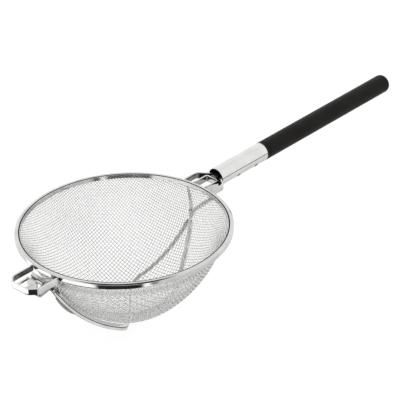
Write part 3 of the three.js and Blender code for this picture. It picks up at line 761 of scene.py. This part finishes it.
ferrule_inside = FERRULE_RADIUS - FERRULE_WALL
yoke_tail_side = ferrule_inside - YOKE_TAIL_INSET
yoke_bend = rim_foot(YOKE_HALF_WIDTH) + YOKE_STRAIGHT
yoke_neck = yoke_bend + YOKE_CHAMFER
for name, side, inner_side in (("left", 1, STRIP_RIGHT_SIDE), ("right", -1, STRIP_LEFT_SIDE)):
    arm = standing_strip([
        (rim_foot(YOKE_HALF_WIDTH), side * YOKE_HALF_WIDTH),
        (yoke_bend, side * YOKE_HALF_WIDTH),
        (yoke_neck, side * yoke_tail_side),
        (yoke_neck + YOKE_TAIL_LENGTH, side * yoke_tail_side),
    ], YOKE_BEND, STRIP_HEIGHT, strip_drop)
    yoke = add_piece(f"yoke_{name}_strip", *arm, strip_steel, "strip_steel", f"handle_yoke_{name}")
    # Each arm's inner face is painted darker as shade, near black at the neck, and its tail in the ferrule
    # near black all round as shade
    paint(yoke, painted_shade_steel, strip_sides, sides=inner_side)
    paint(yoke, painted_dark_shade_steel, strip_sides, sides=inner_side, rings=YOKE_NECK_RINGS)
    paint(yoke, painted_dark_shade_steel, strip_sides, rings=YOKE_TAIL_RINGS)

stirrup_end = RIM_RADIUS + STIRRUP_REACH
stirrup = standing_strip([
    (rim_foot(STIRRUP_HALF_WIDTH), STIRRUP_HALF_WIDTH),
    (stirrup_end, STIRRUP_HALF_WIDTH),
    (stirrup_end, -STIRRUP_HALF_WIDTH),
    (rim_foot(STIRRUP_HALF_WIDTH), -STIRRUP_HALF_WIDTH),
], STRIP_BEND, STIRRUP_HEIGHT, STIRRUP_DROP)
stirrup_piece = add_piece("stirrup_strip", *stirrup, loop_steel, "polished_steel", "rim_stirrup")
# The stirrup's inner face is painted darker, as half shade
paint(stirrup_piece, painted_half_shade_steel, strip_sides, sides=STRIP_RIGHT_SIDE)

# Pot hook and the braces that tie it to the loop
hook_plate = -(RIM_RADIUS + HOOK_PLATE_REACH)
hook_side = bent_route([
    (-(RIM_RADIUS + HOOK_ROOT_REACH), -HOOK_ROOT_DROP),
    (-(RIM_RADIUS + HOOK_TOE_REACH), -HOOK_TOE_DROP),
    (hook_plate, -HOOK_TOE_DROP + HOOK_BEND),
    (hook_plate, -HOOK_TOP_DROP),
], HOOK_BEND / 2)
hook_points = np.column_stack([hook_side[:, 0], np.zeros(len(hook_side)), hook_side[:, 1]])
hook_widths = np.interp(-hook_side[:, 1], (HOOK_TOP_DROP, HOOK_ROOT_DROP), (HOOK_WIDTH, HOOK_ROOT_WIDTH))
hook_spans = [(-width / 2, width / 2) for width in hook_widths]
across = np.tile([0.0, 1.0, 0.0], (len(hook_side), 1))
hook_strip = bar(hook_points, across, hook_spans, HOOK_THICKNESS)
# The hook is painted in darker steel, as half shade
add_piece("hook_strip", *hook_strip, painted_half_shade_steel, "polished_steel", "pot_hook")

brace_start = loop_front + STRIP_THICKNESS / 2 + CLEARANCE
brace_end = hook_plate - HOOK_THICKNESS / 2 - CLEARANCE
for name, side in (("left", 1), ("right", -1)):
    ends = [(brace_start, side * BRACE_SIDE, -HOOK_TOP_DROP), (brace_end, side * BRACE_SIDE, -HOOK_TOP_DROP)]
    upright = np.tile([0.0, 0.0, 1.0], (2, 1))
    brace = bar(ends, upright, [(-BRACE_HEIGHT, 0)] * 2, BRACE_THICKNESS)
    add_piece(f"brace_{name}_bar", *brace, loop_steel, "polished_steel", f"hook_brace_{name}")

# Ferrule: a rolled sheet with an open seam, pressed in round each rivet
ferrule_start = RIM_RADIUS + FERRULE_PAST_RIM
seam_half = FERRULE_SEAM_GAP / 2 / FERRULE_RADIUS
ferrule_angles = np.linspace(seam_half, 2 * math.pi - seam_half, FERRULE_ARC_STEPS) + FERRULE_SEAM_ANGLE


def dimple(angles, along):
    depth = np.zeros(len(angles))
    for place in RIVET_PLACES.values():
        aside = FERRULE_RADIUS * (np.mod(angles - RIVET_ANGLE + math.pi, 2 * math.pi) - math.pi)
        depth += DIMPLE_DEPTH * np.exp(-(aside ** 2 + (along - place) ** 2) / DIMPLE_REACH ** 2)
    return depth


def ferrule_ring(along, inset):
    around = np.concatenate([ferrule_angles, ferrule_angles[::-1]])
    outer = np.full(FERRULE_ARC_STEPS, FERRULE_RADIUS - inset)
    inner = np.full(FERRULE_ARC_STEPS, ferrule_inside + inset)
    radius = np.concatenate([outer, inner]) - dimple(around, along)
    xs = np.full(len(around), ferrule_start + along)
    return np.column_stack([xs, radius * np.cos(around), radius * np.sin(around) - HANDLE_AXIS_DROP])


ferrule_lip = FERRULE_WALL / 4
ferrule_rings = [ferrule_ring(0, ferrule_lip)]
for along in np.linspace(ferrule_lip, FERRULE_LENGTH - ferrule_lip, FERRULE_RUN_STEPS):
    ferrule_rings.append(ferrule_ring(along, 0))
ferrule_rings.append(ferrule_ring(FERRULE_LENGTH, ferrule_lip))
ferrule_tube = add_piece("ferrule_tube", *loft(ferrule_rings), ferrule_steel, "ferrule_steel", "ferrule")
# The tube's inner faces are painted near black, as the shade inside it
ferrule_inner_sides = range(FERRULE_ARC_STEPS, 2 * FERRULE_ARC_STEPS - 1)
paint(ferrule_tube, painted_dark_shade_steel, 2 * FERRULE_ARC_STEPS, sides=ferrule_inner_sides)

# Rivets: low domes that stand out of the ferrule's dimples, painted dark at the foot as shade
rivet_out = np.array([0, math.cos(RIVET_ANGLE), math.sin(RIVET_ANGLE)])
rivet_aside = np.array([0, -math.sin(RIVET_ANGLE), math.cos(RIVET_ANGLE)])
for name, place in RIVET_PLACES.items():
    seat = FERRULE_RADIUS - DIMPLE_DEPTH
    middle = np.array([ferrule_start + place, 0, -HANDLE_AXIS_DROP])
    angles = np.linspace(0, 2 * math.pi, RIVET_SEGMENTS, endpoint=False)
    circle = np.cos(angles)[:, None] * np.array([1.0, 0, 0]) + np.sin(angles)[:, None] * rivet_aside
    rings = [middle + circle * RIVET_HEAD_RADIUS + rivet_out * (seat - RIVET_SINK)]
    for lift in np.linspace(0, RIVET_TOP_LIFT, RIVET_RINGS):
        radius = RIVET_HEAD_RADIUS * math.cos(lift)
        rings.append(middle + circle * radius + rivet_out * (seat + RIVET_HEAD_HEIGHT * math.sin(lift)))
    dome = add_piece(f"{name}_dome", *loft(rings), plain_steel, "plain_steel", name)
    paint(dome, painted_dark_shade_steel, RIVET_SEGMENTS, rings=RIVET_SHADE_RINGS)

# Grip: a round bar with a shallow groove near the ferrule and a rounded end
grip_start = ferrule_start + FERRULE_LENGTH + CLEARANCE
grip_radius = FERRULE_RADIUS + GRIP_OVER_FERRULE


def grip_rings():
    groove = GRIP_GROOVE_DEPTH * np.sin(np.linspace(0, math.pi, GRIP_ROUND_STEPS))
    groove_places = GRIP_GROOVE_PLACE + np.linspace(0, GRIP_GROOVE_WIDTH, GRIP_ROUND_STEPS)
    edge = GRIP_EDGE_ROUND
    tail = GRIP_LENGTH - GRIP_END_ROUND
    profile = np.concatenate([
        curve((grip_radius - edge, 0), (grip_radius, 0), (grip_radius, edge), GRIP_ROUND_STEPS),
        np.column_stack([grip_radius - groove, groove_places]),
        curve((grip_radius, tail), (grip_radius, GRIP_LENGTH), (0, GRIP_LENGTH), GRIP_ROUND_STEPS)[:-1],
    ])
    angles = np.linspace(0, 2 * math.pi, GRIP_SEGMENTS, endpoint=False)
    for radius, along in profile:
        xs = np.full(GRIP_SEGMENTS, grip_start + along)
        yield np.column_stack([xs, radius * np.cos(angles), radius * np.sin(angles) - HANDLE_AXIS_DROP])


add_piece("grip_moulding", *loft(list(grip_rings())), black_plastic, "black_plastic", "grip")

# Solids that stay as they are: the hidden hoop and tang, in steel painted dark as shade
for name in ("rim_hoop", "handle_tang"):
    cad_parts[name].data.materials.clear()
    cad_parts[name].data.materials.append(painted_shade_steel)


# Studio
def stage_floor():
    floor_mesh = bpy.data.meshes.new("floor")
    shape = bmesh.new()
    bmesh.ops.create_circle(shape, cap_ends=True, segments=FLOOR_SEGMENTS, radius=FLOOR_RADIUS)
    shape.to_mesh(floor_mesh)
    shape.free()
    material, nodes, links = new_material("pale_floor")
    shader = nodes["Principled BSDF"]
    cloudy = noise(nodes, links, stretched(nodes, links, (1, 1, 1)), FLOOR_CLOUD_SCALE)
    tone = colour_between(nodes, links, cloudy, FLOOR_DARK, FLOOR_LIGHT)
    links.new(tone, shader.inputs["Base Color"])
    shader.inputs["Emission Color"].default_value = (1, 1, 1, 1)
    shader.inputs["Emission Strength"].default_value = FLOOR_GLOW
    shader.inputs["Roughness"].default_value = FLOOR_ROUGHNESS
    shader.inputs["Specular IOR Level"].default_value = 0.0
    floor_mesh.materials.append(material)
    floor = bpy.data.objects.new("floor", floor_mesh)
    bpy.context.scene.collection.objects.link(floor)
    floor.location.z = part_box("support_strap_left")[0].z - FLOOR_BELOW
    floor.visible_glossy = False
    floor.visible_diffuse = False
    floor.visible_shadow = False


stage_floor()


# World: an even sky for soft light, and a studio with dark and white cards for reflections
world = bpy.data.worlds.new("studio")
bpy.context.scene.world = world
world.use_nodes = True
world_nodes = world.node_tree.nodes
world_links = world.node_tree.links
world_nodes.clear()


def world_math(operation, a, b=None):
    node = world_nodes.new("ShaderNodeMath")
    node.operation = operation
    for socket, value in zip(node.inputs, (a, b)):
        if value is None:
            continue
        if isinstance(value, (int, float)):
            socket.default_value = value
        else:
            world_links.new(value, socket)
    return node.outputs["Value"]


def soft_step(value, low, high):
    node = world_nodes.new("ShaderNodeMapRange")
    node.interpolation_type = "SMOOTHSTEP"
    node.inputs["From Min"].default_value = low
    node.inputs["From Max"].default_value = high
    world_links.new(value, node.inputs["Value"])
    return node.outputs["Result"]


world_place = world_nodes.new("ShaderNodeTexCoord")
world_split = world_nodes.new("ShaderNodeSeparateXYZ")
world_links.new(world_place.outputs["Generated"], world_split.inputs["Vector"])
world_x, world_y, world_z = (world_split.outputs[axis] for axis in "XYZ")
elevation = world_math("DEGREES", world_math("ARCSINE", world_z))
to_right = world_math(
    "ADD",
    world_math("MULTIPLY", world_x, math.cos(VIEW_AZIMUTH)),
    world_math("MULTIPLY", world_y, math.sin(VIEW_AZIMUTH)),
)
to_camera = world_math(
    "SUBTRACT",
    world_math("MULTIPLY", world_x, math.sin(VIEW_AZIMUTH)),
    world_math("MULTIPLY", world_y, math.cos(VIEW_AZIMUTH)),
)
azimuth = world_math("DEGREES", world_math("ARCTAN2", to_right, to_camera))


def window(value, low, high, soft):
    rise = soft_step(value, low - soft, low + soft)
    fall = soft_step(value, high + soft, high - soft)
    return world_math("MULTIPLY", rise, fall)


def card(bounds, soft=CARD_SOFT):
    """One inside a card's bounds, falling softly to nought outside them"""
    az_low, az_high, el_low, el_high = bounds
    across = window(azimuth, az_low, az_high, soft)
    upright = window(elevation, el_low, el_high, soft)
    return world_math("MULTIPLY", across, upright)


roof_and_front = world_math("MAXIMUM", card(FRONT_FLAG), soft_step(elevation, *ROOF_EDGE))
dark = world_math("MAXIMUM", roof_and_front, card(SLIM_FLAG))
low_shade = world_math("MULTIPLY", soft_step(elevation, *LOW_SHADE_EDGE), LOW_SHADE)
shade = world_math("MAXIMUM", low_shade, card(LEFT_SHADE, SHADE_SOFT))
white_cards = world_math("MAXIMUM", card(LEFT_WHITE_CARD, WHITE_CARD_SOFT), card(RIGHT_WHITE_CARD))
white_glow = world_math("MULTIPLY", white_cards, WHITE_CARD_GLOW)
lit_share = world_math("ADD", world_math("SUBTRACT", 1.0, shade), white_glow)
clear_share = world_math("SUBTRACT", 1.0, world_math("MULTIPLY", dark, FLAG_DARKNESS))
brightness = world_math("MULTIPLY", world_math("MULTIPLY", lit_share, clear_share), STUDIO_STRENGTH)

studio = world_nodes.new("ShaderNodeBackground")
studio.inputs["Color"].default_value = (1, 1, 1, 1)
world_links.new(brightness, studio.inputs["Strength"])
even = world_nodes.new("ShaderNodeBackground")
even.inputs["Color"].default_value = (1, 1, 1, 1)
skylight = world_math("ADD", world_math("MULTIPLY", soft_step(elevation, *SKY_EDGE), SKY_RISE), SKY_BELOW)
world_links.new(skylight, even.inputs["Strength"])
light_path = world_nodes.new("ShaderNodeLightPath")
mix = world_nodes.new("ShaderNodeMixShader")
world_links.new(light_path.outputs["Is Glossy Ray"], mix.inputs["Fac"])
world_links.new(even.outputs["Background"], mix.inputs[1])
world_links.new(studio.outputs["Background"], mix.inputs[2])
world_output = world_nodes.new("ShaderNodeOutputWorld")
world_links.new(mix.outputs["Shader"], world_output.inputs["Surface"])

# A low lamp that picks out the knuckles of the weave, and lights nothing else
lamp_data = bpy.data.lights.new("low_lamp", "SUN")
lamp_data.energy = LAMP_STRENGTH
lamp_data.angle = LAMP_SPREAD
lamp = bpy.data.objects.new("low_lamp", lamp_data)
bpy.context.scene.collection.objects.link(lamp)
lamp_turn = VIEW_AZIMUTH + LAMP_AZIMUTH
lamp_from = Vector((
    math.sin(lamp_turn) * math.cos(LAMP_ELEVATION),
    -math.cos(lamp_turn) * math.cos(LAMP_ELEVATION),
    math.sin(LAMP_ELEVATION),
))
lamp.rotation_euler = lamp_from.to_track_quat("Z", "Y").to_euler()
lit = bpy.data.collections.new("lit_by_low_lamp")
for piece in mesh_pieces:
    lit.objects.link(piece)
lamp.light_linking.receiver_collection = lit

# Camera
back = np.array([
    math.sin(VIEW_AZIMUTH) * math.cos(VIEW_ELEVATION),
    -math.cos(VIEW_AZIMUTH) * math.cos(VIEW_ELEVATION),
    math.sin(VIEW_ELEVATION),
])
level = unit(np.cross(-back, [0, 0, 1]))
rise = np.cross(level, -back)
right = math.cos(VIEW_ROLL) * level + math.sin(VIEW_ROLL) * rise
up = math.cos(VIEW_ROLL) * rise - math.sin(VIEW_ROLL) * level
eye = (back * VIEW_DISTANCE - right * VIEW_ASIDE - up * VIEW_ABOVE + (0, 0, RIM_TOP)) * MM
camera_data = bpy.data.cameras.new("camera")
camera_data.sensor_width = SENSOR_WIDTH
camera_data.lens = VIEW_FOCAL_PIXELS / IMAGE_PIXELS * SENSOR_WIDTH
camera = bpy.data.objects.new("camera", camera_data)
bpy.context.scene.collection.objects.link(camera)
camera.matrix_world = Matrix([[right[k], up[k], back[k], eye[k]] for k in range(3)] + [[0, 0, 0, 1]])
bpy.context.scene.camera = camera
bpy.context.scene.view_settings.view_transform = "Standard"
